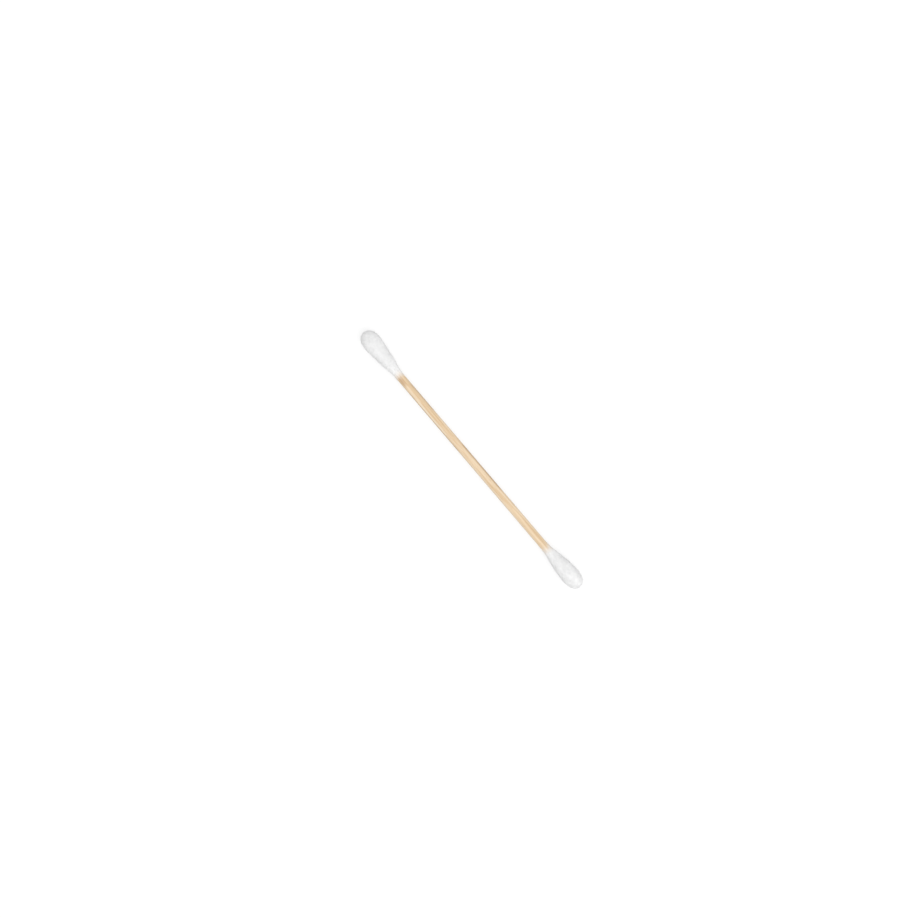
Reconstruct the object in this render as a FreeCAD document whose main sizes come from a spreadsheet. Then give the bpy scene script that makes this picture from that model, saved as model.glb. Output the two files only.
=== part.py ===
import FreeCAD, Part
import math
import os
import Sketcher
from collections import namedtuple
from FreeCAD import Placement, Rotation, Vector

# Cotton swab: a round wooden stick with a bud of wound cotton on each end.
# Millimetres. +X runs from the left bud to the right bud and +Z is up. The swab lies on
# z = 0, on the small flat that is pressed into the underside of each bud, and the
# origin is under the middle of the stick.

# Driving sizes. A place is measured along the swab from the tip of its own bud.
SIZES = {
    "swab_length": 75.0,
    "stick_diameter": 1.9,
    "stick_chamfer": 0.2,
    # cotton in front of each end of the stick
    "tip_cover": 1.8,
    # depth of the flat under the slimmer bud; the fuller one is pressed down to the same plane
    "flat_depth": 0.07,
    # how far a cutting shape reaches past what it cuts
    "cut_overrun": 1.0,
    # the thin layer of cotton that runs on along the stick behind each bud
    "sleeve_neck_wall": 0.09,
    "sleeve_end_wall": 0.05,
    "neck_round": 5.0,
    # left bud: full, with a late shoulder and a short steep drop to the neck
    "left_belly_diameter": 4.34,
    "left_belly_place": 3.1,
    "left_nose_inset": 0.27,
    "left_shoulder_drop": 0.665,
    "left_shoulder_place": 9.2,
    "left_shoulder_round": 6.0,
    "left_neck_place": 11.0,
    "left_bud_length": 13.3,
    "left_lean": 1.1,
    # right bud: a little slimmer, with an early shoulder and a long even taper
    "right_belly_diameter": 4.18,
    "right_belly_place": 3.3,
    "right_nose_inset": 0.29,
    "right_shoulder_drop": 0.14,
    "right_shoulder_place": 5.9,
    "right_shoulder_round": 6.0,
    "right_neck_place": 11.0,
    "right_bud_length": 13.3,
    "right_lean": 1.1,
}

# Sizes that follow from the driving ones, as formulas of the sheet.
DERIVED = {
    "stick_radius": "=stick_diameter / 2",
    "stick_length": "=swab_length - 2 * tip_cover",
    "axis_height": "=min(left_belly_diameter; right_belly_diameter) / 2 - flat_depth",
    "neck_radius": "=stick_radius + sleeve_neck_wall",
    "sleeve_end_radius": "=stick_radius + sleeve_end_wall",
}
for side in ("left", "right"):
    DERIVED[f"{side}_belly_radius"] = f"={side}_belly_diameter / 2"
    DERIVED[f"{side}_nose_radius"] = f"={side}_belly_radius - {side}_nose_inset"
    DERIVED[f"{side}_shoulder_radius"] = f"={side}_belly_radius - {side}_shoulder_drop"
    DERIVED[f"{side}_pivot"] = f"=({side}_neck_place + {side}_bud_length) / 2"

# The body of each bud stands on the stick's axis at its tip, with its own X into the swab.
# The right one is turned half round, so the same sideways lean has the other sign there.
SIDES = {
    "left": {"turn": 0.0, "lean_sign": -1, "tip_x": "-Sizes.swab_length / 2"},
    "right": {"turn": 180.0, "lean_sign": 1, "tip_x": "Sizes.swab_length / 2"},
}

# Sketcher's numbers for its own origin and for the points of a shape.
ORIGIN = -1
START, END, CENTRE = 1, 2, 3

# A rounded corner of an outline: its arc, where it begins and ends along the outline, and
# which end of the arc lies at each of those places.
Corner = namedtuple("Corner", "arc first last near far")

doc = FreeCAD.newDocument("cotton_swab")


# Spreadsheet
def make_sheet():
    sheet = doc.addObject("Spreadsheet::Sheet", "Sizes")
    for row, (alias, value) in enumerate({**SIZES, **DERIVED}.items(), start=1):
        sheet.set(f"A{row}", alias)
        sheet.set(f"B{row}", str(value))
        sheet.setAlias(f"B{row}", alias)
    doc.recompute()
    return sheet


# Helpers for bodies and sketches
def origin_plane(body, role):
    return next(item for item in body.Origin.OriginFeatures if item.Role == role)


def make_sketch(body, name, role):
    sketch = body.newObject("Sketcher::SketchObject", name)
    sketch.AttachmentSupport = [(origin_plane(body, role), "")]
    sketch.MapMode = "FlatFace"
    return sketch


def bind(sketch, constraint, name, expression):
    number = sketch.addConstraint(constraint)
    sketch.renameConstraint(number, name)
    sketch.setExpression(f"Constraints.{name}", expression)


def bind_point(sketch, shape, corner, name, x_expression, y_expression, x_now, y_now):
    across = Sketcher.Constraint("DistanceX", ORIGIN, START, shape, corner, x_now)
    bind(sketch, across, f"{name}_x", x_expression)
    upward = Sketcher.Constraint("DistanceY", ORIGIN, START, shape, corner, y_now)
    bind(sketch, upward, f"{name}_y", y_expression)


def close_outline(sketch, points):
    """Draw straight edges round the points, each one joined to the next."""
    first = sketch.GeometryCount
    count = len(points)
    for number, point in enumerate(points):
        sketch.addGeometry(Part.LineSegment(point, points[(number + 1) % count]), False)
    for number in range(count):
        after = first + (number + 1) % count
        sketch.addConstraint(Sketcher.Constraint("Coincident", first + number, END, after, START))


def volume_after_cut(feature, before):
    """Recompute, and stop if the cut missed the solid."""
    doc.recompute()
    if feature.Shape.Volume >= before:
        raise RuntimeError(f"{feature.Name} cuts nothing")
    return feature.Shape.Volume


# Stick
def make_stick():
    body = doc.addObject("PartDesign::Body", "StickBody")
    body.Label = "wooden_stick"
    section = make_sketch(body, "StickSection", "YZ_Plane")
    section.addGeometry(Part.Circle(Vector(0, 0, 0), Vector(0, 0, 1), sheet.stick_radius), False)
    section.addConstraint(Sketcher.Constraint("Coincident", 0, CENTRE, ORIGIN, START))
    round_size = Sketcher.Constraint("Diameter", 0, sheet.stick_diameter)
    bind(section, round_size, "diameter", "Sizes.stick_diameter")
    rod = body.newObject("PartDesign::Pad", "Rod")
    rod.Profile = section
    rod.setExpression("Length", "Sizes.stick_length")
    doc.recompute()
    ends = [f"Edge{number}" for number, edge in enumerate(rod.Shape.Edges, start=1)
            if isinstance(edge.Curve, Part.Circle)]
    broken_edges = body.newObject("PartDesign::Chamfer", "BrokenEdges")
    broken_edges.Base = (rod, ends)
    broken_edges.setExpression("Size", "Sizes.stick_chamfer")
    volume_after_cut(broken_edges, rod.Shape.Volume)
    body.setExpression("Placement.Base.x", "-Sizes.stick_length / 2")
    body.setExpression("Placement.Base.z", "Sizes.axis_height")
    return body


# Buds
def round_corner(before, corner, after, radius):
    """Arc that rounds a corner of an outline, with its ends named as the outline meets them."""
    arriving = (corner - before).normalize()
    leaving = (after - corner).normalize()
    turn = math.atan2(arriving.cross(leaving).z, arriving.dot(leaving))
    trim = radius * math.tan(abs(turn) / 2)
    first = corner - arriving * trim
    last = corner + leaving * trim
    inward = Vector(-arriving.y, arriving.x, 0) * math.copysign(radius, turn)
    centre = first + inward
    angles = [math.atan2(point.y - centre.y, point.x - centre.x) for point in (first, last)]
    circle = Part.Circle(centre, Vector(0, 0, 1), radius)
    # an arc is drawn anticlockwise, so a clockwise corner starts at its last point
    if turn < 0:
        return Corner(Part.ArcOfCircle(circle, angles[1], angles[0]), first, last, END, START)
    return Corner(Part.ArcOfCircle(circle, angles[0], angles[1]), first, last, START, END)


def draw_profile(sketch, side):
    """Half outline of a bud along its own axis: nose and belly arcs, two tapers, sleeve."""
    nose_r = sheet.get(f"{side}_nose_radius")
    belly_r = sheet.get(f"{side}_belly_radius")
    belly_x = sheet.get(f"{side}_belly_place")
    shoulder = Vector(sheet.get(f"{side}_shoulder_place"), sheet.get(f"{side}_shoulder_radius"), 0)
    neck = Vector(sheet.get(f"{side}_neck_place"), sheet.neck_radius, 0)
    sleeve_end = Vector(sheet.get(f"{side}_bud_length"), sheet.sleeve_end_radius, 0)
    tip = Vector(0, 0, 0)
    foot = Vector(sleeve_end.x, 0, 0)

    # the belly arc has the one radius that lets it meet the nose arc smoothly, and it
    # ends where a straight line to the shoulder touches it
    nose_centre = Vector(nose_r, 0, 0)
    arc_r = ((belly_x - nose_r) ** 2 + belly_r ** 2 - nose_r ** 2) / (2 * (belly_r - nose_r))
    arc_centre = Vector(belly_x, belly_r - arc_r, 0)
    to_nose = nose_centre - arc_centre
    join_angle = math.atan2(to_nose.y, to_nose.x)
    to_shoulder = shoulder - arc_centre
    taper_angle = math.atan2(to_shoulder.y, to_shoulder.x) + math.acos(arc_r / to_shoulder.Length)
    taper_start = arc_centre + Vector(math.cos(taper_angle), math.sin(taper_angle), 0) * arc_r
    shoulder_r = sheet.get(f"{side}_shoulder_round")
    bend = round_corner(taper_start, shoulder, neck, shoulder_r)
    hollow = round_corner(shoulder, neck, sleeve_end, sheet.neck_round)

    normal = Vector(0, 0, 1)
    nose_circle = Part.Circle(nose_centre, normal, nose_r)
    nose = sketch.addGeometry(Part.ArcOfCircle(nose_circle, join_angle, math.pi), False)
    belly_circle = Part.Circle(arc_centre, normal, arc_r)
    belly = sketch.addGeometry(Part.ArcOfCircle(belly_circle, taper_angle, join_angle), False)
    upper = sketch.addGeometry(Part.LineSegment(taper_start, bend.first), False)
    bend_arc = sketch.addGeometry(bend.arc, False)
    lower = sketch.addGeometry(Part.LineSegment(bend.last, hollow.first), False)
    hollow_arc = sketch.addGeometry(hollow.arc, False)
    sleeve = sketch.addGeometry(Part.LineSegment(hollow.last, sleeve_end), False)
    rear = sketch.addGeometry(Part.LineSegment(sleeve_end, foot), False)
    axis = sketch.addGeometry(Part.LineSegment(foot, tip), False)
    crest = sketch.addGeometry(Part.Point(Vector(belly_x, belly_r, 0)), True)
    shoulder_point = sketch.addGeometry(Part.Point(shoulder), True)
    neck_point = sketch.addGeometry(Part.Point(neck), True)

    sketch.addConstraint(Sketcher.Constraint("Coincident", nose, END, ORIGIN, START))
    sketch.addConstraint(Sketcher.Constraint("PointOnObject", nose, CENTRE, ORIGIN))
    smooth_joints = ((nose, START, belly, END), (belly, START, upper, START),
                     (upper, END, bend_arc, bend.near), (bend_arc, bend.far, lower, START),
                     (lower, END, hollow_arc, hollow.near), (hollow_arc, hollow.far, sleeve, START))
    for joint in smooth_joints:
        sketch.addConstraint(Sketcher.Constraint("Tangent", *joint))
    on_lines = ((crest, belly), (shoulder_point, upper), (shoulder_point, lower),
                (neck_point, lower), (neck_point, sleeve))
    for point, line in on_lines:
        sketch.addConstraint(Sketcher.Constraint("PointOnObject", point, START, line))
    sketch.addConstraint(Sketcher.Constraint("Vertical", crest, START, belly, CENTRE))
    for before, after in ((sleeve, rear), (rear, axis)):
        sketch.addConstraint(Sketcher.Constraint("Coincident", before, END, after, START))
    sketch.addConstraint(Sketcher.Constraint("Coincident", axis, END, ORIGIN, START))
    sketch.addConstraint(Sketcher.Constraint("Vertical", rear))
    sketch.addConstraint(Sketcher.Constraint("Horizontal", axis))
    for arc, radius, name, cell in ((nose, nose_r, "nose_radius", f"{side}_nose_radius"),
                                    (bend_arc, shoulder_r, "bend_radius", f"{side}_shoulder_round"),
                                    (hollow_arc, sheet.neck_round, "hollow_radius", "neck_round")):
        bind(sketch, Sketcher.Constraint("Radius", arc, radius), name, f"Sizes.{cell}")
    bind_point(sketch, crest, START, "belly", f"Sizes.{side}_belly_place",
               f"Sizes.{side}_belly_radius", belly_x, belly_r)
    bind_point(sketch, shoulder_point, START, "shoulder", f"Sizes.{side}_shoulder_place",
               f"Sizes.{side}_shoulder_radius", shoulder.x, shoulder.y)
    bind_point(sketch, neck_point, START, "neck", f"Sizes.{side}_neck_place",
               "Sizes.neck_radius", neck.x, neck.y)
    bind_point(sketch, sleeve, END, "sleeve_end", f"Sizes.{side}_bud_length",
               "Sizes.sleeve_end_radius", sleeve_end.x, sleeve_end.y)


def lean_sketch(sketch, side):
    """Lean the wound cotton sideways about the middle of its sleeve."""
    angle = f"{SIDES[side]['lean_sign']} * Sizes.{side}_lean"
    pivot = f"Sizes.{side}_pivot"
    # a first small turn about Z gives the offset its axis; the formula then sets the angle
    sketch.AttachmentOffset = Placement(Vector(0, 0, 0), Rotation(Vector(0, 0, 1), 1))
    sketch.setExpression("AttachmentOffset.Rotation.Angle", angle)
    sketch.setExpression("AttachmentOffset.Base.x", f"{pivot} * (1 - cos({angle}))")
    sketch.setExpression("AttachmentOffset.Base.y", f"-{pivot} * sin({angle})")


def cut_seat(body, side):
    """Blind seat that the end of the stick fills, chamfer and all, open at the sleeve's end."""
    sketch = make_sketch(body, f"{side.title()}SeatSection", "XY_Plane")
    front = sheet.tip_cover
    back = sheet.get(f"{side}_bud_length") + sheet.cut_overrun
    radius = sheet.stick_radius
    bevel = sheet.stick_chamfer
    close_outline(sketch, [Vector(front, 0, 0), Vector(front, radius - bevel, 0),
                           Vector(front + bevel, radius, 0), Vector(back, radius, 0),
                           Vector(back, 0, 0)])
    front_edge, bevel_edge, wall_edge, back_edge, axis_edge = range(5)
    sketch.addConstraint(Sketcher.Constraint("Vertical", front_edge))
    sketch.addConstraint(Sketcher.Constraint("Horizontal", wall_edge))
    sketch.addConstraint(Sketcher.Constraint("Vertical", back_edge))
    sketch.addConstraint(Sketcher.Constraint("PointOnObject", axis_edge, START, ORIGIN))
    sketch.addConstraint(Sketcher.Constraint("PointOnObject", axis_edge, END, ORIGIN))
    across = Sketcher.Constraint("DistanceX", bevel_edge, START, bevel_edge, END, bevel)
    bind(sketch, across, "bevel_x", "Sizes.stick_chamfer")
    upward = Sketcher.Constraint("DistanceY", bevel_edge, START, bevel_edge, END, bevel)
    bind(sketch, upward, "bevel_y", "Sizes.stick_chamfer")
    reach = Sketcher.Constraint("DistanceX", ORIGIN, START, front_edge, START, front)
    bind(sketch, reach, "front", "Sizes.tip_cover")
    bind_point(sketch, wall_edge, END, "mouth", f"Sizes.{side}_bud_length + Sizes.cut_overrun",
               "Sizes.stick_radius", back, radius)
    seat = body.newObject("PartDesign::Groove", f"{side.title()}Seat")
    seat.Profile = sketch
    seat.ReferenceAxis = (sketch, ["H_Axis"])
    seat.Angle = 360
    return seat


def cut_flat(body, side):
    """Flat that the swab's rest presses into the underside of the bud."""
    sketch = make_sketch(body, f"{side.title()}FlatSection", "XZ_Plane")
    front = -sheet.cut_overrun
    back = sheet.get(f"{side}_bud_length") + sheet.cut_overrun
    top = -sheet.axis_height
    bottom = -sheet.get(f"{side}_belly_radius") - sheet.cut_overrun
    close_outline(sketch, [Vector(front, top, 0), Vector(front, bottom, 0),
                           Vector(back, bottom, 0), Vector(back, top, 0)])
    left_edge, bottom_edge, right_edge, top_edge = range(4)
    for edge in (left_edge, right_edge):
        sketch.addConstraint(Sketcher.Constraint("Vertical", edge))
    for edge in (bottom_edge, top_edge):
        sketch.addConstraint(Sketcher.Constraint("Horizontal", edge))
    bind_point(sketch, left_edge, START, "near", "-Sizes.cut_overrun",
               "-Sizes.axis_height", front, top)
    bind_point(sketch, right_edge, START, "far",
               f"Sizes.{side}_bud_length + Sizes.cut_overrun",
               f"-Sizes.{side}_belly_radius - Sizes.cut_overrun", back, bottom)
    flat = body.newObject("PartDesign::Pocket", f"{side.title()}Flat")
    flat.Profile = sketch
    flat.SideType = "Symmetric"
    flat.setExpression("Length", f"Sizes.{side}_belly_diameter + 2 * Sizes.cut_overrun")
    return flat


def make_bud(side):
    place = SIDES[side]
    body = doc.addObject("PartDesign::Body", f"{side.title()}BudBody")
    body.Label = f"{side}_cotton_bud"
    profile = make_sketch(body, f"{side.title()}Profile", "XY_Plane")
    lean_sketch(profile, side)
    draw_profile(profile, side)
    wound = body.newObject("PartDesign::Revolution", f"{side.title()}Wound")
    wound.Profile = profile
    wound.ReferenceAxis = (profile, ["H_Axis"])
    wound.Angle = 360
    doc.recompute()
    volume = volume_after_cut(cut_seat(body, side), wound.Shape.Volume)
    volume_after_cut(cut_flat(body, side), volume)
    body.Placement = Placement(Vector(0, 0, 0), Rotation(Vector(0, 0, 1), place["turn"]))
    body.setExpression("Placement.Base.x", place["tip_x"])
    body.setExpression("Placement.Base.z", "Sizes.axis_height")
    return body


# Checks before anything is written
def check_document(pieces):
    for item in doc.Objects:
        if "Invalid" in item.State or "Error" in item.State:
            raise RuntimeError(f"{item.Name} did not recompute: {item.State}")
        if item.isDerivedFrom("Sketcher::SketchObject") and item.solve() != 0:
            raise RuntimeError(f"{item.Name} has no solution")
    for piece in pieces:
        if piece.Shape.isNull() or not piece.Shape.isValid():
            raise RuntimeError(f"{piece.Label} has no valid shape")
        if len(piece.Shape.Solids) != 1:
            raise RuntimeError(f"{piece.Label} is not one solid")


sheet = make_sheet()
pieces = [make_stick(), make_bud("left"), make_bud("right")]
doc.recompute()
check_document(pieces)

os.makedirs("parts", exist_ok=True)
for piece in pieces:
    piece.Shape.exportStep(f"parts/{piece.Label}.step")
    print(f"{piece.Label}: {piece.Shape.Volume:.2f} mm3")
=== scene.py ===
import math
import random

import bpy
import numpy as np
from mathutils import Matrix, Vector, noise
from mathutils.bvhtree import BVHTree


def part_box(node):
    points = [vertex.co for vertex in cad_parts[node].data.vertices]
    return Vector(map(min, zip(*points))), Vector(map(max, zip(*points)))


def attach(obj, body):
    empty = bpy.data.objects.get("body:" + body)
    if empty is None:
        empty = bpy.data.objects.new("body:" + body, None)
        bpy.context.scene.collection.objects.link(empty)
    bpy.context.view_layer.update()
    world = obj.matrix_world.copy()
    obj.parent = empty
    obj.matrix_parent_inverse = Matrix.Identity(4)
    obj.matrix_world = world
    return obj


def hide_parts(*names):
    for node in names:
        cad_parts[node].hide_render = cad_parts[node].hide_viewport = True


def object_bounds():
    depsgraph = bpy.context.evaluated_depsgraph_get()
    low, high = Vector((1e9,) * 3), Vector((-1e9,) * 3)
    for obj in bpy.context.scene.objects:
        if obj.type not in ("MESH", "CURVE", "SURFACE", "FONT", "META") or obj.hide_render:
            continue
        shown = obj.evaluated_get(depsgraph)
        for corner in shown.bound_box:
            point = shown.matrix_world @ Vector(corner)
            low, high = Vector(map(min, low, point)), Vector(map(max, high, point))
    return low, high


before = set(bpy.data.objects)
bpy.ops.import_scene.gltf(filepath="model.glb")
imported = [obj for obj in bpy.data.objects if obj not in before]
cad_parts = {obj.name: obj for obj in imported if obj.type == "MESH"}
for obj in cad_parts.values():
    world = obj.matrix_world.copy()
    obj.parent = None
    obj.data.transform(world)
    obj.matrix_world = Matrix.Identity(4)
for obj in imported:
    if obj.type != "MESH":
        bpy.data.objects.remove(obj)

# Cotton swab on a white table, seen from straight above.
# Metres, in the frame's own axes: +X from the left bud to the right bud, +Z up.

cad_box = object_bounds()
MM = 0.001

# Places taken from the frame
stick_low, stick_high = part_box("wooden_stick")
STICK_RADIUS = (stick_high.z - stick_low.z) / 2
AXIS_HEIGHT = (stick_high.z + stick_low.z) / 2
LEFT_TIP = cad_box[0].x
RIGHT_TIP = cad_box[1].x
MIDDLE_X = (LEFT_TIP + RIGHT_TIP) / 2

# Each bud: its node, the X of its tip, which way is into the swab, and where its cotton
# starts to thin out along the stick and ends, in millimetres from the tip.
BUDS = {
    "left": {"node": "left_cotton_bud", "tip": LEFT_TIP, "inward": 1,
             "thin_from": 10.9, "thin_to": 13.8, "seed": 11},
    "right": {"node": "right_cotton_bud", "tip": RIGHT_TIP, "inward": -1,
              "thin_from": 9.4, "thin_to": 12.6, "seed": 47},
}


# Camera
PHOTO_SIZE = 918
LEFT_TIP_PX = (363.0, 333.0)
RIGHT_TIP_PX = (579.4, 587.3)
LENS_MM = 100
SENSOR_MM = 36
CLIP_START = 0.01


def make_camera():
    """Looks straight down, turned and placed so that both tips land where the photo has them."""
    run_x = RIGHT_TIP_PX[0] - LEFT_TIP_PX[0]
    run_y = RIGHT_TIP_PX[1] - LEFT_TIP_PX[1]
    metres_per_px = (RIGHT_TIP - LEFT_TIP) / math.hypot(run_x, run_y)
    turn = math.atan2(run_y, run_x)
    right = Vector((math.cos(turn), math.sin(turn), 0))
    up = Vector((-math.sin(turn), math.cos(turn), 0))
    off_x = (LEFT_TIP_PX[0] + RIGHT_TIP_PX[0] - PHOTO_SIZE) / 2
    off_y = (LEFT_TIP_PX[1] + RIGHT_TIP_PX[1] - PHOTO_SIZE) / 2
    aim = Vector((MIDDLE_X, 0, AXIS_HEIGHT)) - (right * off_x - up * off_y) * metres_per_px
    distance = PHOTO_SIZE * metres_per_px * LENS_MM / SENSOR_MM
    data = bpy.data.cameras.new("camera")
    data.lens = LENS_MM
    data.sensor_width = SENSOR_MM
    data.clip_start = CLIP_START
    camera = bpy.data.objects.new("camera", data)
    camera.location = aim + Vector((0, 0, distance))
    camera.rotation_euler = (0, 0, turn)
    bpy.context.scene.collection.objects.link(camera)
    bpy.context.scene.camera = camera


# Helpers for meshes
def add_piece(name, vertices, faces, material, node=None):
    mesh = bpy.data.meshes.new(name)
    mesh.from_pydata([tuple(vertex) for vertex in vertices], [], faces)
    mesh.validate()
    mesh.polygons.foreach_set("use_smooth", [True] * len(mesh.polygons))
    mesh.materials.append(material)
    mesh.update()
    piece = bpy.data.objects.new(name, mesh)
    bpy.context.scene.collection.objects.link(piece)
    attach(piece, "root")
    if node:
        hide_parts(node)
    return piece


def ring_faces(first, second, count):
    """Quads between two rings of vertices, wound so that they face outward for a run along +X."""
    return [(first + k, first + (k + 1) % count, second + (k + 1) % count, second + k)
            for k in range(count)]


def fan_faces(centre, ring, count):
    return [(centre, ring + (k + 1) % count, ring + k) for k in range(count)]


def flipped(faces):
    return [tuple(reversed(face)) for face in faces]


def smoothstep(low, high, value):
    share = min(max((value - low) / (high - low), 0), 1)
    return share * share * (3 - 2 * share)


# Wooden stick
STICK_SIDES = 96
STICK_RINGS = 420
GRAIN_DEPTH = 0.011 * MM
UNROUND = 0.012 * MM
STICK_BEVEL = 0.2 * MM

# How closely each part of the wood's relief repeats, round the stick and along it, and its shift
GRAIN_LINES = (9, 0.09, 0)
GRAIN_FINE = (24, 0.22, 40)
GRAIN_SLOW = (0.9, 0.05, 80)
LINE_SHARE, FINE_SHARE = 0.6, 0.4


def stick_radius_at(x, angle):
    """Radius of the turned wood: fine grain lines along it, and a slightly unround section."""
    along = (x - stick_low.x) / MM
    lines, fine, slow = (noise.noise(Vector((math.cos(angle) * around, math.sin(angle) * around,
                                             along * stretch + shift)))
                         for around, stretch, shift in (GRAIN_LINES, GRAIN_FINE, GRAIN_SLOW))
    grain = LINE_SHARE * lines + FINE_SHARE * fine
    return STICK_RADIUS + GRAIN_DEPTH * grain + UNROUND * slow


def make_stick(material):
    vertices = []
    faces = []
    for ring in range(STICK_RINGS + 1):
        x = stick_low.x + (stick_high.x - stick_low.x) * ring / STICK_RINGS
        inset = max(STICK_BEVEL - min(x - stick_low.x, stick_high.x - x), 0)
        for side in range(STICK_SIDES):
            angle = 2 * math.pi * side / STICK_SIDES
            radius = stick_radius_at(x, angle) - inset
            vertices.append((x, radius * math.cos(angle), AXIS_HEIGHT + radius * math.sin(angle)))
    for ring in range(STICK_RINGS):
        faces += ring_faces(ring * STICK_SIDES, (ring + 1) * STICK_SIDES, STICK_SIDES)
    for x, ring, turn in ((stick_low.x, 0, False), (stick_high.x, STICK_RINGS, True)):
        vertices.append((x, 0, AXIS_HEIGHT))
        cap = fan_faces(len(vertices) - 1, ring * STICK_SIDES, STICK_SIDES)
        faces += flipped(cap) if turn else cap
    add_piece("turned_stick", vertices, faces, material, "wooden_stick")


# Cotton buds. Places along a bud are counted from its tip, in millimetres.
NOSE_DEPTH = 2.2
BELLY_DEPTH = 3.2
AXIS_DEPTH = 12.15
SLEEVE_FROM = 9
END_INSET = 0.06
MOUTH_STEP = 0.01
NOSE_RINGS = 66
BODY_RINGS = 216
BUD_SIDES = 250
CAST_FROM = 6 * MM
SMOOTH_PASSES = 26

# Cotton over the wood along the sleeve and at its end, and how far the seat lies in the wood
LEAST_COTTON = 0.012 * MM
END_COTTON = 0.014 * MM
SEAT_SINK = 0.03 * MM

# Relief of the cotton: heights in millimetres, and how closely the roundish parts repeat
LUMP_HEIGHT, LUMP_SCALE = 0.035, 0.55
DENT_HEIGHT, DENT_SCALE = 0.014, 1.3
WISP_HEIGHT, WISP_SCALE = 0.006, 6.5
SWIRL_HEIGHT, SWIRL_SCALE = 0.03, 3.0
FRONT_WISP_HEIGHT = 0.012
SLEEVE_WISP_HEIGHT = 0.004
WOUND_HEIGHT = 0.024
CROSSED_HEIGHT = 0.014
DRAWN_HEIGHT = 0.014

# Strands: radians that they turn in a millimetre, how many there are, how they stretch along
WOUND = (0.42, 7, 0.35)
CROSSED = (-0.24, 9, 0.3)
DRAWN = (0.03, 8, 0.2)

# Where the front gives way to the body, and the body to the neck
FRONT_TO_BODY = (0.1, 1.2)
BODY_TO_NECK = (8.5, 11.5)


def strands(angle, arc, kind, shift):
    """Noise drawn out into strands that wind round the bud."""
    twist, count, stretch = kind
    turned = angle + twist * arc
    return noise.noise(Vector((math.cos(turned) * count, math.sin(turned) * count,
                               arc * stretch + shift)))


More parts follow.
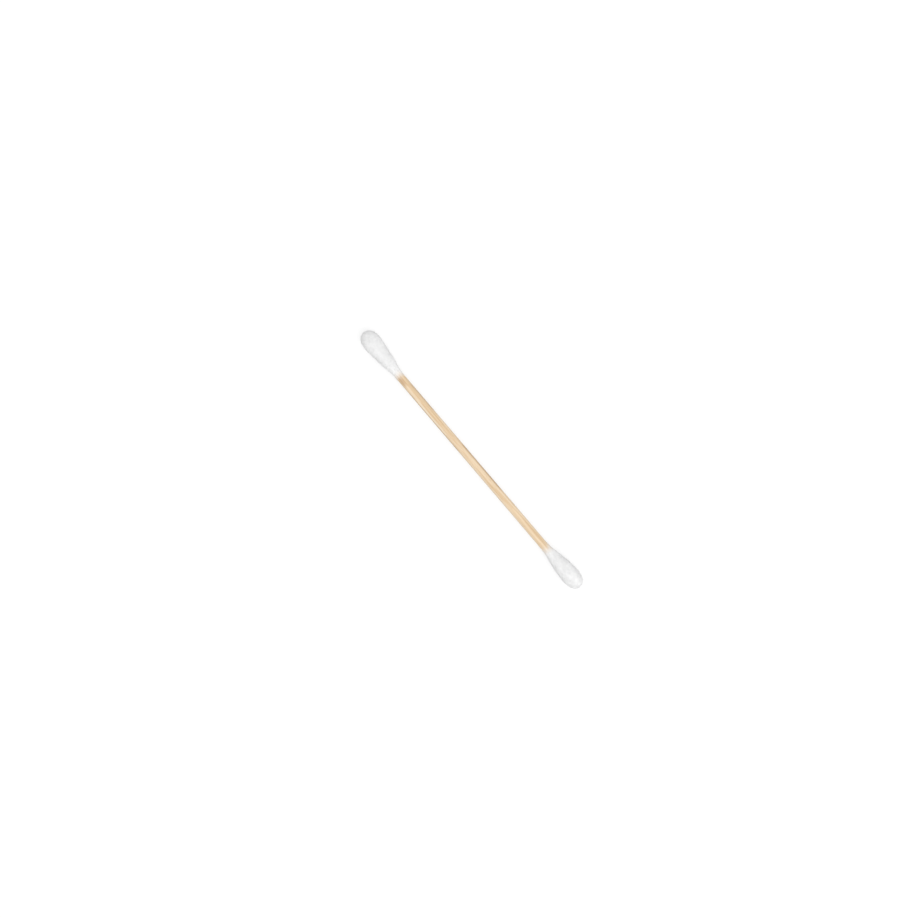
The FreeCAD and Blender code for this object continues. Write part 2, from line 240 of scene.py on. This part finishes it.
class Bud:
    """The outer surface of one bud as a grid of rings, read from its CAD solid and then wound."""

    def __init__(self, spec):
        self.spec = spec
        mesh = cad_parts[spec["node"]].data
        self.tree = BVHTree.FromPolygons([v.co for v in mesh.vertices],
                                         [p.vertices for p in mesh.polygons])
        low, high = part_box(spec["node"])
        self.length = (high.x - low.x) / MM - END_INSET
        self.lean_y = (low.y + high.y) / 2
        self.set_out_rings()
        self.cast()
        self.wind()
        self.find_normals()

    def middle_y(self, depth):
        """The bud leans sideways: its middle runs from the stick's axis to lean_y at the belly."""
        return self.lean_y * (AXIS_DEPTH - depth) / (AXIS_DEPTH - BELLY_DEPTH)

    def on_body(self, i):
        """Whether a ring lies square across the bud, and so no longer belongs to the nose."""
        return i >= NOSE_RINGS - 1

    def set_out_rings(self):
        """Depth from the tip, tilt from the axis and arc length from the tip of each ring."""
        nose = [math.pi / 2 * (k + 1) / NOSE_RINGS for k in range(NOSE_RINGS)]
        body = [(self.length - NOSE_DEPTH) * (k + 1) / BODY_RINGS for k in range(BODY_RINGS)]
        self.depths = [NOSE_DEPTH] * NOSE_RINGS + [NOSE_DEPTH + step for step in body]
        self.tilts = nose + [math.pi / 2] * BODY_RINGS
        self.arcs = [NOSE_DEPTH * tilt for tilt in nose]
        self.arcs += [NOSE_DEPTH * math.pi / 2 + step for step in body]
        self.rings = len(self.depths)
        self.angles = [2 * math.pi * k / BUD_SIDES for k in range(BUD_SIDES)]

    def cast(self):
        """Distance from the bud's middle line to its CAD surface along each ray, smoothed."""
        tip, inward = self.spec["tip"], self.spec["inward"]
        self.centres = np.zeros((self.rings, 3))
        self.ways = np.zeros((self.rings, BUD_SIDES, 3))
        self.reach = np.zeros((self.rings, BUD_SIDES))
        for i in range(self.rings):
            depth = self.depths[i]
            centre = Vector((tip + inward * depth * MM, self.middle_y(depth), AXIS_HEIGHT))
            self.centres[i] = centre
            for j, angle in enumerate(self.angles):
                way = Vector((-inward * math.cos(self.tilts[i]),
                              math.sin(self.tilts[i]) * math.cos(angle),
                              math.sin(self.tilts[i]) * math.sin(angle)))
                self.ways[i, j] = way
                hit = self.tree.ray_cast(centre + way * CAST_FROM, -way)
                self.reach[i, j] = CAST_FROM - hit[3]
        self.pole_reach = self.reach[0].mean()
        for _ in range(SMOOTH_PASSES):
            around = np.roll(self.reach, 1, 1) + np.roll(self.reach, -1, 1)
            self.reach = self.reach / 2 + around / 4
            inner = (self.reach[:-2] + self.reach[2:]) / 4 + self.reach[1:-1] / 2
            self.reach[1:-1] = inner

    def relief(self, i, angle, radius):
        """Height of the wound cotton over the plain form, in millimetres."""
        arc = self.arcs[i]
        seed = self.spec["seed"]
        past_front = smoothstep(*FRONT_TO_BODY, arc)
        neck = smoothstep(*BODY_TO_NECK, self.depths[i])
        place = Vector((arc, radius * math.cos(angle), radius * math.sin(angle)))
        lumps = noise.noise(place * LUMP_SCALE + Vector((seed, 0, 0)))
        dents = noise.noise(place * DENT_SCALE + Vector((0, seed, 0)))
        wisps = noise.noise(place * WISP_SCALE)
        swirl = noise.noise(place * SWIRL_SCALE + Vector((0, 0, seed)))
        body = LUMP_HEIGHT * lumps + DENT_HEIGHT * dents + WISP_HEIGHT * wisps
        body += WOUND_HEIGHT * strands(angle, arc, WOUND, seed)
        body += CROSSED_HEIGHT * strands(angle, arc, CROSSED, -seed)
        front = SWIRL_HEIGHT * swirl + FRONT_WISP_HEIGHT * wisps
        sleeve = DRAWN_HEIGHT * strands(angle, arc, DRAWN, 0) + SLEEVE_WISP_HEIGHT * wisps
        height = front * (1 - past_front) + body * past_front
        return height * (1 - neck) + sleeve * neck

    def wind(self):
        """Add the relief, thin the sleeve out, and keep the underside on the table."""
        self.points = np.zeros((self.rings, BUD_SIDES, 3))
        for i in range(self.rings):
            depth = self.depths[i]
            thin = smoothstep(self.spec["thin_from"], self.length, depth) if self.on_body(i) else 0
            for j, angle in enumerate(self.angles):
                radius = self.reach[i, j] * math.sin(self.tilts[i]) / MM
                reach = self.reach[i, j] + self.relief(i, angle, radius) * MM
                reach = reach * (1 - thin) + (STICK_RADIUS + END_COTTON) * thin
                if depth > SLEEVE_FROM:
                    reach = max(reach, STICK_RADIUS + LEAST_COTTON)
                self.points[i, j] = self.centres[i] + self.ways[i, j] * reach
        inward = self.spec["inward"]
        self.pole = Vector(self.centres[0]) + Vector((-inward * self.pole_reach, 0, 0))
        self.points[..., 2] = np.maximum(self.points[..., 2], 0)

    def find_normals(self):
        across = np.roll(self.points, -1, 1) - np.roll(self.points, 1, 1)
        along = np.gradient(self.points, axis=0)
        normals = np.cross(along, across)
        outward = (normals * self.ways).sum(-1, keepdims=True)
        normals = normals * np.where(outward < 0, -1, 1)
        self.normals = normals / (np.linalg.norm(normals, axis=-1, keepdims=True) + 1e-12)

    def at(self, i, j):
        """Point and normal of the surface between the rings and sides."""
        i = min(max(i, 0), self.rings - 1.001)
        j = j % BUD_SIDES
        i0, j0 = int(i), int(j)
        j1 = (j0 + 1) % BUD_SIDES
        a, b = i - i0, j - j0
        found = []
        for grid in (self.points, self.normals):
            near = grid[i0, j0] * (1 - b) + grid[i0, j1] * b
            far = grid[i0 + 1, j0] * (1 - b) + grid[i0 + 1, j1] * b
            found.append(near * (1 - a) + far * a)
        return found

    def build(self, name, material):
        """Closed mesh: wound outside, end of the sleeve, and the seat that holds the stick."""
        tip, inward = self.spec["tip"], self.spec["inward"]
        vertices = [tuple(point) for ring in self.points for point in ring]
        faces = []
        for i in range(self.rings - 1):
            faces += ring_faces(i * BUD_SIDES, (i + 1) * BUD_SIDES, BUD_SIDES)
        seat_front = stick_low.x if inward > 0 else stick_high.x
        seat_back = tip + inward * (self.length + MOUTH_STEP) * MM
        seat_radius = STICK_RADIUS - SEAT_SINK
        last = (self.rings - 1) * BUD_SIDES
        for x in (seat_back, seat_front):
            ring = len(vertices)
            for angle in self.angles:
                vertices.append((x, seat_radius * math.cos(angle),
                                 AXIS_HEIGHT + seat_radius * math.sin(angle)))
            faces += ring_faces(last, ring, BUD_SIDES)
            last = ring
        vertices.append((seat_front, 0, AXIS_HEIGHT))
        faces += flipped(fan_faces(len(vertices) - 1, last, BUD_SIDES))
        vertices.append(tuple(self.pole))
        faces += fan_faces(len(vertices) - 1, 0, BUD_SIDES)
        if inward < 0:
            faces = flipped(faces)
        piece = add_piece(name, vertices, faces, material, self.spec["node"])


# Loose fibres
FIBRE_RADIUS = 0.009 * MM
THINNEST, THICKEST = 0.7, 1.25
FIBRE_POINTS = 8
FIBRES = 1500
FIBRE_LENGTHS = (0.7, 2.6)
LEAST_POINTS = 4

# Angles in radians: the two ways that fibres are wound, and how each one strays from its way
WINDINGS = (1.05, -0.75)
LEAN_SPREAD, NECK_LEAN_SPREAD = 0.45, 0.2
BEND_SPREAD = 0.18
WAVER_SPREAD = 0.1

# How far a fibre's end lifts, in millimetres: a few stray, and the others lie close
STRAY_SHARE = 0.16
STRAY_LIFT = (0.05, 0.22)
CLOSE_LIFT = (0, 0.012)
LEAST_LIFT = 0.007
LIFT_POWER = 2.2

# Depths between which cotton turns into the paler neck, smallest radius that a fibre turns on,
# how fast fibres grow fewer as the cotton thins, and how thin a fibre's ends are
NECK_COTTON = (8.5, 11.0)
LEAST_TURN = 0.35
THINNING_POWER = 1.5
FIBRE_END = 0.45


def fibre_path(bud, draw):
    """One fibre over the bud: most lie close, a few lift one end."""
    reach = bud.rings - 1
    i = reach * draw.random() ** 0.9
    j = draw.random() * BUD_SIDES
    step = draw.uniform(*FIBRE_LENGTHS) / (FIBRE_POINTS - 1)
    at_neck = smoothstep(*NECK_COTTON, bud.depths[int(i)])
    lean = draw.choice(WINDINGS) * (1 - at_neck)
    lean += draw.gauss(0, LEAN_SPREAD * (1 - at_neck) + NECK_LEAN_SPREAD * at_neck)
    lean += draw.choice((0, math.pi))
    bend = draw.gauss(0, BEND_SPREAD)
    lift_end = draw.uniform(*(STRAY_LIFT if draw.random() < STRAY_SHARE else CLOSE_LIFT))
    ring_gap = (bud.length - NOSE_DEPTH) / BODY_RINGS
    path = []
    for k in range(FIBRE_POINTS):
        point, normal = bud.at(i, j)
        centre = bud.centres[int(min(max(i, 0), reach))]
        radius = max(np.linalg.norm((point - centre)[1:]) / MM, LEAST_TURN)
        share = k / (FIBRE_POINTS - 1)
        place = point + normal * (LEAST_LIFT + lift_end * share ** LIFT_POWER) * MM
        place[2] = max(place[2], THICKEST * FIBRE_RADIUS)
        path.append(place)
        i += math.cos(lean) * step / ring_gap
        j += math.sin(lean) * step / (2 * math.pi * radius) * BUD_SIDES
        lean += bend + draw.gauss(0, WAVER_SPREAD)
        if i < 2 or i > reach - 1:
            break
    return path


def tube(path, radius, vertices, faces):
    """Closed four-sided tube along a path, with its ends drawn in."""
    path = np.array(path)
    ways = np.gradient(path, axis=0)
    ways /= np.linalg.norm(ways, axis=1, keepdims=True) + 1e-12
    side = np.cross(ways[0], (0.13, 0.31, 0.94))
    first = len(vertices)
    last_point = len(path) - 1
    for k, (point, way) in enumerate(zip(path, ways)):
        side = side - way * side.dot(way)
        side /= np.linalg.norm(side) + 1e-12
        other = np.cross(way, side)
        size = radius * (FIBRE_END if k in (0, last_point) else 1)
        vertices += [point + side * size, point + other * size,
                     point - side * size, point - other * size]
    for k in range(last_point):
        faces += ring_faces(first + 4 * k, first + 4 * (k + 1), 4)
    faces.append((first + 3, first + 2, first + 1, first))
    end = first + 4 * last_point
    faces.append((end, end + 1, end + 2, end + 3))


def make_fibres(name, bud, material):
    spec = bud.spec
    draw = random.Random(spec["seed"])
    vertices = []
    faces = []
    for _ in range(FIBRES):
        path = fibre_path(bud, draw)
        reach = abs(path[-1][0] - spec["tip"]) / MM
        cover = smoothstep(spec["thin_to"], spec["thin_from"], reach)
        if len(path) >= LEAST_POINTS and draw.random() < cover ** THINNING_POWER:
            tube(path, FIBRE_RADIUS * draw.uniform(THINNEST, THICKEST), vertices, faces)
    add_piece(name, vertices, faces, material)


# Colours, as displayed
BIRCH_DEEP = (234, 207, 170)
BIRCH_PALE = (247, 225, 195)
GRAIN_LINE = (212, 175, 127)
PORE = (168, 124, 82)
# Cotton wisps over the wood, and at the right neck also a painted glue sheen
WISP_AND_GLUE_SHEEN_ON_WOOD = (248, 247, 246)
COTTON_DIM = (241, 241, 241)
COTTON_WHITE = (250, 250, 250)
# Painted shade for the cotton's pits
COTTON_PIT_SHADE = (226, 226, 226)
COTTON_NECK = (252, 252, 252)
FIBRE_DIM = (243, 243, 243)
FIBRE_WHITE = (251, 251, 251)

# Colour sockets of the mix node, which has others of the same names for plain numbers
MIX_COLOURS = (6, 7)
MIX_RESULT = 2


# Materials
def linear(red, green, blue):
    """A display colour, 0 to 255, as the linear colour that a shader takes."""
    values = []
    for part in (red, green, blue):
        share = part / 255
        values.append(share / 12.92 if share <= 0.04045 else ((share + 0.055) / 1.055) ** 2.4)
    return (*values, 1)


class Shader:
    """A Principled material and short calls for the nodes that feed it."""

    def __init__(self, name):
        self.material = bpy.data.materials.new(name)
        self.material.use_nodes = True
        self.nodes = self.material.node_tree.nodes
        self.links = self.material.node_tree.links
        self.base = self.nodes["Principled BSDF"]
        self.place = self.add("ShaderNodeTexCoord").outputs["Object"]

    def add(self, kind, **settings):
        node = self.nodes.new(kind)
        for key, value in settings.items():
            setattr(node, key, value)
        return node

    def link(self, output, node, socket):
        self.links.new(output, node.inputs[socket])

    def noise(self, scale, detail=4, roughness=0.55, shift=(0, 0, 0)):
        """Noise whose features per millimetre are given along X, Y and Z."""
        mapping = self.add("ShaderNodeMapping")
        mapping.inputs["Scale"].default_value = tuple(part / MM for part in scale)
        mapping.inputs["Location"].default_value = shift
        self.link(self.place, mapping, "Vector")
        texture = self.add("ShaderNodeTexNoise")
        texture.inputs["Scale"].default_value = 1
        texture.inputs["Detail"].default_value = detail
        texture.inputs["Roughness"].default_value = roughness
        self.link(mapping.outputs["Vector"], texture, "Vector")
        return texture.outputs["Fac"]

    def fit(self, value, low, high, to_low=0.0, to_high=1.0, smooth=True):
        node = self.add("ShaderNodeMapRange")
        node.interpolation_type = "SMOOTHSTEP" if smooth else "LINEAR"
        self.link(value, node, "Value")
        for socket, number in (("From Min", low), ("From Max", high),
                               ("To Min", to_low), ("To Max", to_high)):
            node.inputs[socket].default_value = number
        return node.outputs["Result"]

    def maths(self, operation, one, other=0):
        node = self.add("ShaderNodeMath", operation=operation)
        for socket, value in enumerate((one, other)):
            if isinstance(value, (int, float)):
                node.inputs[socket].default_value = value
            else:
                self.link(value, node, socket)
        return node.outputs["Value"]

    def mix(self, share, one, other):
        """One colour where the share is 0 and the other where it is 1."""
        node = self.add("ShaderNodeMix", data_type="RGBA")
        self.link(share, node, "Factor")
        for socket, colour in zip(MIX_COLOURS, (one, other)):
            if isinstance(colour, tuple):
                node.inputs[socket].default_value = linear(*colour)
            else:
                self.link(colour, node, socket)
        return node.outputs[MIX_RESULT]

    def part(self, axis):
        """One coordinate of the place, in metres."""
        parts = self.add("ShaderNodeSeparateXYZ")
        self.link(self.place, parts, "Vector")
        return parts.outputs[axis]

    def bump(self, height, strength, distance):
        node = self.add("ShaderNodeBump")
        node.inputs["Strength"].default_value = strength
        node.inputs["Distance"].default_value = distance
        self.link(height, node, "Height")
        self.link(node.outputs["Normal"], self.base, "Normal")


def depth_from(shader, spec):
    """Millimetres from a bud's tip."""
    reach = shader.maths("SUBTRACT", shader.part("X"), spec["tip"])
    return shader.maths("MULTIPLY", reach, spec["inward"] / MM)


# Strokes along the stick, in millimetres: where each starts and ends, counted from the left tip,
# its middle in Y, its half width, its displayed colour and how strongly it shows. The first is a
# painted highlight, a pale streak along the -Y side; the last is a darker brown patch just past
# the left bud's neck; the others are darker streaks of the wood.
STROKES_AND_PAINTED_HIGHLIGHT = (
    # Painted highlight: a pale streak along the -Y side of the stick
    (19.5, 29.5, -0.56, 0.30, (252, 236, 210), 0.75),
    (20.5, 33.0, -0.14, 0.24, (206, 164, 112), 0.40),
    (15.5, 23.5, 0.80, 0.28, (176, 140, 100), 0.45),
    (33.5, 47.0, 0.82, 0.32, (176, 138, 96), 0.55),
    (17.0, 34.0, -0.90, 0.22, (180, 144, 106), 0.50),
    # A darker brown patch just past the left bud's neck
    (12.7, 15.2, -0.30, 0.75, (176, 130, 82), 0.50),
)
STROKE_FADE = 0.8
STROKE_WAVER = 0.12 * MM


def stroke(shader, start, end, middle, half_width):
    """Share of one soft-ended stroke along the stick, wavering a little."""
    depth = depth_from(shader, BUDS["left"])
    begun = shader.fit(depth, start - STROKE_FADE, start + STROKE_FADE)
    ended = shader.fit(depth, end + STROKE_FADE, end - STROKE_FADE)
    waver = shader.fit(shader.noise((0.12, 0.4, 0.4), 2), 0.3, 0.7,
                       -STROKE_WAVER, STROKE_WAVER, smooth=False)
    across = shader.maths("ADD", shader.part("Y"), waver)
    off = shader.maths("ABSOLUTE", shader.maths("SUBTRACT", across, middle * MM))
    band = shader.fit(off, half_width * MM, 0)
    return shader.maths("MULTIPLY", shader.maths("MULTIPLY", begun, ended), band)


def wood_colour(shader):
    """Pale birch: soft bands, grain lines, strokes with a painted highlight among them, and short
    darker pores, all along the stick.
    """
    bands = shader.noise((0.05, 1.3, 1.3), 3)
    lines = shader.noise((0.1, 3.6, 3.6), 5, 0.62, (3, 0, 0))
    pores = shader.noise((0.8, 16, 16), 3, 0.5, (0, 7, 0))
    colour = shader.mix(shader.fit(bands, 0.35, 0.65), BIRCH_DEEP, BIRCH_PALE)
    colour = shader.mix(shader.fit(lines, 0.46, 0.64, 0.0, 0.6), colour, GRAIN_LINE)
    colour = shader.mix(shader.fit(pores, 0.62, 0.74, 0.0, 0.45), colour, PORE)
    # The first stroke is a painted highlight, a pale streak along the -Y side
    for start, end, middle, half_width, tone, strength in STROKES_AND_PAINTED_HIGHLIGHT:
        share = stroke(shader, start, end, middle, half_width)
        colour = shader.mix(shader.maths("MULTIPLY", share, strength), colour, tone)
    return colour, lines


# Millimetres that the edge of the cotton wavers, and that its colour thins later than its form
RAGGED_EDGE = 1.3
COVER_LAG = 0.3


def cotton_cover_and_glue_sheen(shader, spec):
    """Share of the wood that cotton hides, and at the right neck that a painted glue sheen turns
    pale: from 1 on the bud to 0 where the last wisps end.
    """
    streaks = shader.noise((0.35, 4.2, 4.2), 4, 0.6, (spec["seed"], 0, 0))
    ragged = shader.fit(streaks, 0, 1, -RAGGED_EDGE, RAGGED_EDGE, smooth=False)
    depth = shader.maths("ADD", depth_from(shader, spec), ragged)
    return shader.fit(depth, spec["thin_to"], spec["thin_from"] + COVER_LAG)


def make_wood():
    shader = Shader("birch")
    colour, lines = wood_colour(shader)
    for spec in BUDS.values():
        # Pale cotton wisps over the wood near each neck; at the right neck they also paint a glue
        # sheen
        colour = shader.mix(cotton_cover_and_glue_sheen(shader, spec), colour, WISP_AND_GLUE_SHEEN_ON_WOOD)
    shader.link(colour, shader.base, "Base Color")
    shader.link(shader.fit(lines, 0.3, 0.7, 0.5, 0.68), shader.base, "Roughness")
    shader.base.inputs["Specular IOR Level"].default_value = 0.35
    shader.bump(lines, 0.35, 0.02 * MM)
    return shader.material


def make_cotton(side):
    spec = BUDS[side]
    shader = Shader(f"wound_cotton_{side}")
    mottle = shader.noise((0.7, 0.8, 0.8), 3, 0.6, (0, spec["seed"], 0))
    hairs = shader.noise((3.0, 9, 9), 5, 0.7)
    colour = shader.mix(shader.fit(mottle, 0.3, 0.7), COTTON_DIM, COTTON_WHITE)
    # Painted shade: greys the cotton a little in its pits, in spots of the fine hair noise
    colour = shader.mix(shader.fit(hairs, 0.55, 0.8, 0.0, 0.25), colour, COTTON_PIT_SHADE)
    colour = shader.mix(shader.fit(depth_from(shader, spec), *NECK_COTTON), colour, COTTON_NECK)
    wood, _ = wood_colour(shader)
    # Wood shows through the thinning sleeve; at the right neck the pale streaks also paint a glue
    # sheen
    colour = shader.mix(cotton_cover_and_glue_sheen(shader, spec), wood, colour)
    shader.link(colour, shader.base, "Base Color")
    shader.base.inputs["Roughness"].default_value = 0.95
    shader.base.inputs["Specular IOR Level"].default_value = 0.2
    shader.base.inputs["Sheen Weight"].default_value = 0.15
    shader.base.inputs["Sheen Roughness"].default_value = 0.6
    shader.bump(hairs, 0.5, 0.03 * MM)
    return shader.material


def make_fibre_cotton():
    shader = Shader("loose_cotton")
    tone = shader.noise((0.9, 0.9, 0.9), 2)
    colour = shader.mix(shader.fit(tone, 0.3, 0.7), FIBRE_DIM, FIBRE_WHITE)
    shader.link(colour, shader.base, "Base Color")
    shader.base.inputs["Roughness"].default_value = 0.9
    shader.base.inputs["Specular IOR Level"].default_value = 0.2
    return shader.material


# Table, lamp and sky. The glow and the fill are the table's own light, as seen directly
# and as it lights the swab. The tone is its grey for the light that falls on it.
FLOOR_SIDE = 3.0
FLOOR_DROP = 0.01 * MM
FLOOR_GLOW = 0.66
FLOOR_FILL = 0.06
FLOOR_TONE = 0.4
SKY_LIGHT = 0.81
LAMP_PLACE = Vector((0.5, 0.02, 0.75))
LAMP_SIDE = 0.6
LAMP_WATTS = 2.4


def seen_directly(nodes, links):
    """1 for what the camera, a mirror or a glass sees, 0 for what only lights the object."""
    path = nodes.new("ShaderNodeLightPath")
    share = path.outputs["Is Camera Ray"]
    for name in ("Is Glossy Ray", "Is Transmission Ray"):
        both = nodes.new("ShaderNodeMath")
        both.operation = "MAXIMUM"
        links.new(share, both.inputs[0])
        links.new(path.outputs[name], both.inputs[1])
        share = both.outputs["Value"]
    return share


def make_floor():
    material = bpy.data.materials.new("table_white")
    material.use_nodes = True
    nodes, links = material.node_tree.nodes, material.node_tree.links
    nodes.clear()
    out = nodes.new("ShaderNodeOutputMaterial")
    matt = nodes.new("ShaderNodeBsdfDiffuse")
    matt.inputs["Color"].default_value = (FLOOR_TONE, FLOOR_TONE, FLOOR_TONE, 1)
    glow = nodes.new("ShaderNodeEmission")
    strength = nodes.new("ShaderNodeMapRange")
    strength.inputs["To Min"].default_value = FLOOR_FILL
    strength.inputs["To Max"].default_value = FLOOR_GLOW
    links.new(seen_directly(nodes, links), strength.inputs["Value"])
    links.new(strength.outputs["Result"], glow.inputs["Strength"])
    both = nodes.new("ShaderNodeAddShader")
    links.new(matt.outputs["BSDF"], both.inputs[0])
    links.new(glow.outputs["Emission"], both.inputs[1])
    links.new(both.outputs["Shader"], out.inputs["Surface"])
    half = FLOOR_SIDE / 2
    mesh = bpy.data.meshes.new("table_top")
    turns = ((-1, -1), (1, -1), (1, 1), (-1, 1))
    mesh.from_pydata([(half * x, half * y, -FLOOR_DROP) for x, y in turns], [], [(0, 1, 2, 3)])
    mesh.materials.append(material)
    floor = bpy.data.objects.new("table_top", mesh)
    bpy.context.scene.collection.objects.link(floor)


def make_sky():
    world = bpy.data.worlds.new("sky")
    bpy.context.scene.world = world
    world.use_nodes = True
    nodes, links = world.node_tree.nodes, world.node_tree.links
    sky = nodes["Background"]
    sky.inputs["Color"].default_value = (1, 1, 1, 1)
    level = nodes.new("ShaderNodeMapRange")
    links.new(seen_directly(nodes, links), level.inputs["Value"])
    level.inputs["To Min"].default_value = SKY_LIGHT
    level.inputs["To Max"].default_value = 1.0
    links.new(level.outputs["Result"], sky.inputs["Strength"])


def make_lamp():
    """One large soft lamp above, towards the right bud, aimed at the swab's middle."""
    data = bpy.data.lights.new("overhead", "AREA")
    data.size = LAMP_SIDE
    data.energy = LAMP_WATTS
    lamp = bpy.data.objects.new("overhead", data)
    lamp.location = LAMP_PLACE
    aim = Vector((MIDDLE_X, 0, 0)) - LAMP_PLACE
    lamp.rotation_euler = aim.to_track_quat("-Z", "Y").to_euler()
    bpy.context.scene.collection.objects.link(lamp)


make_camera()
make_stick(make_wood())
loose = make_fibre_cotton()
for side, spec in BUDS.items():
    bud = Bud(spec)
    bud.build(f"{side}_wound_bud", make_cotton(side))
    make_fibres(f"{side}_loose_fibres", bud, loose)
make_floor()
make_sky()
make_lamp()
bpy.context.scene.view_settings.view_transform = "Standard"
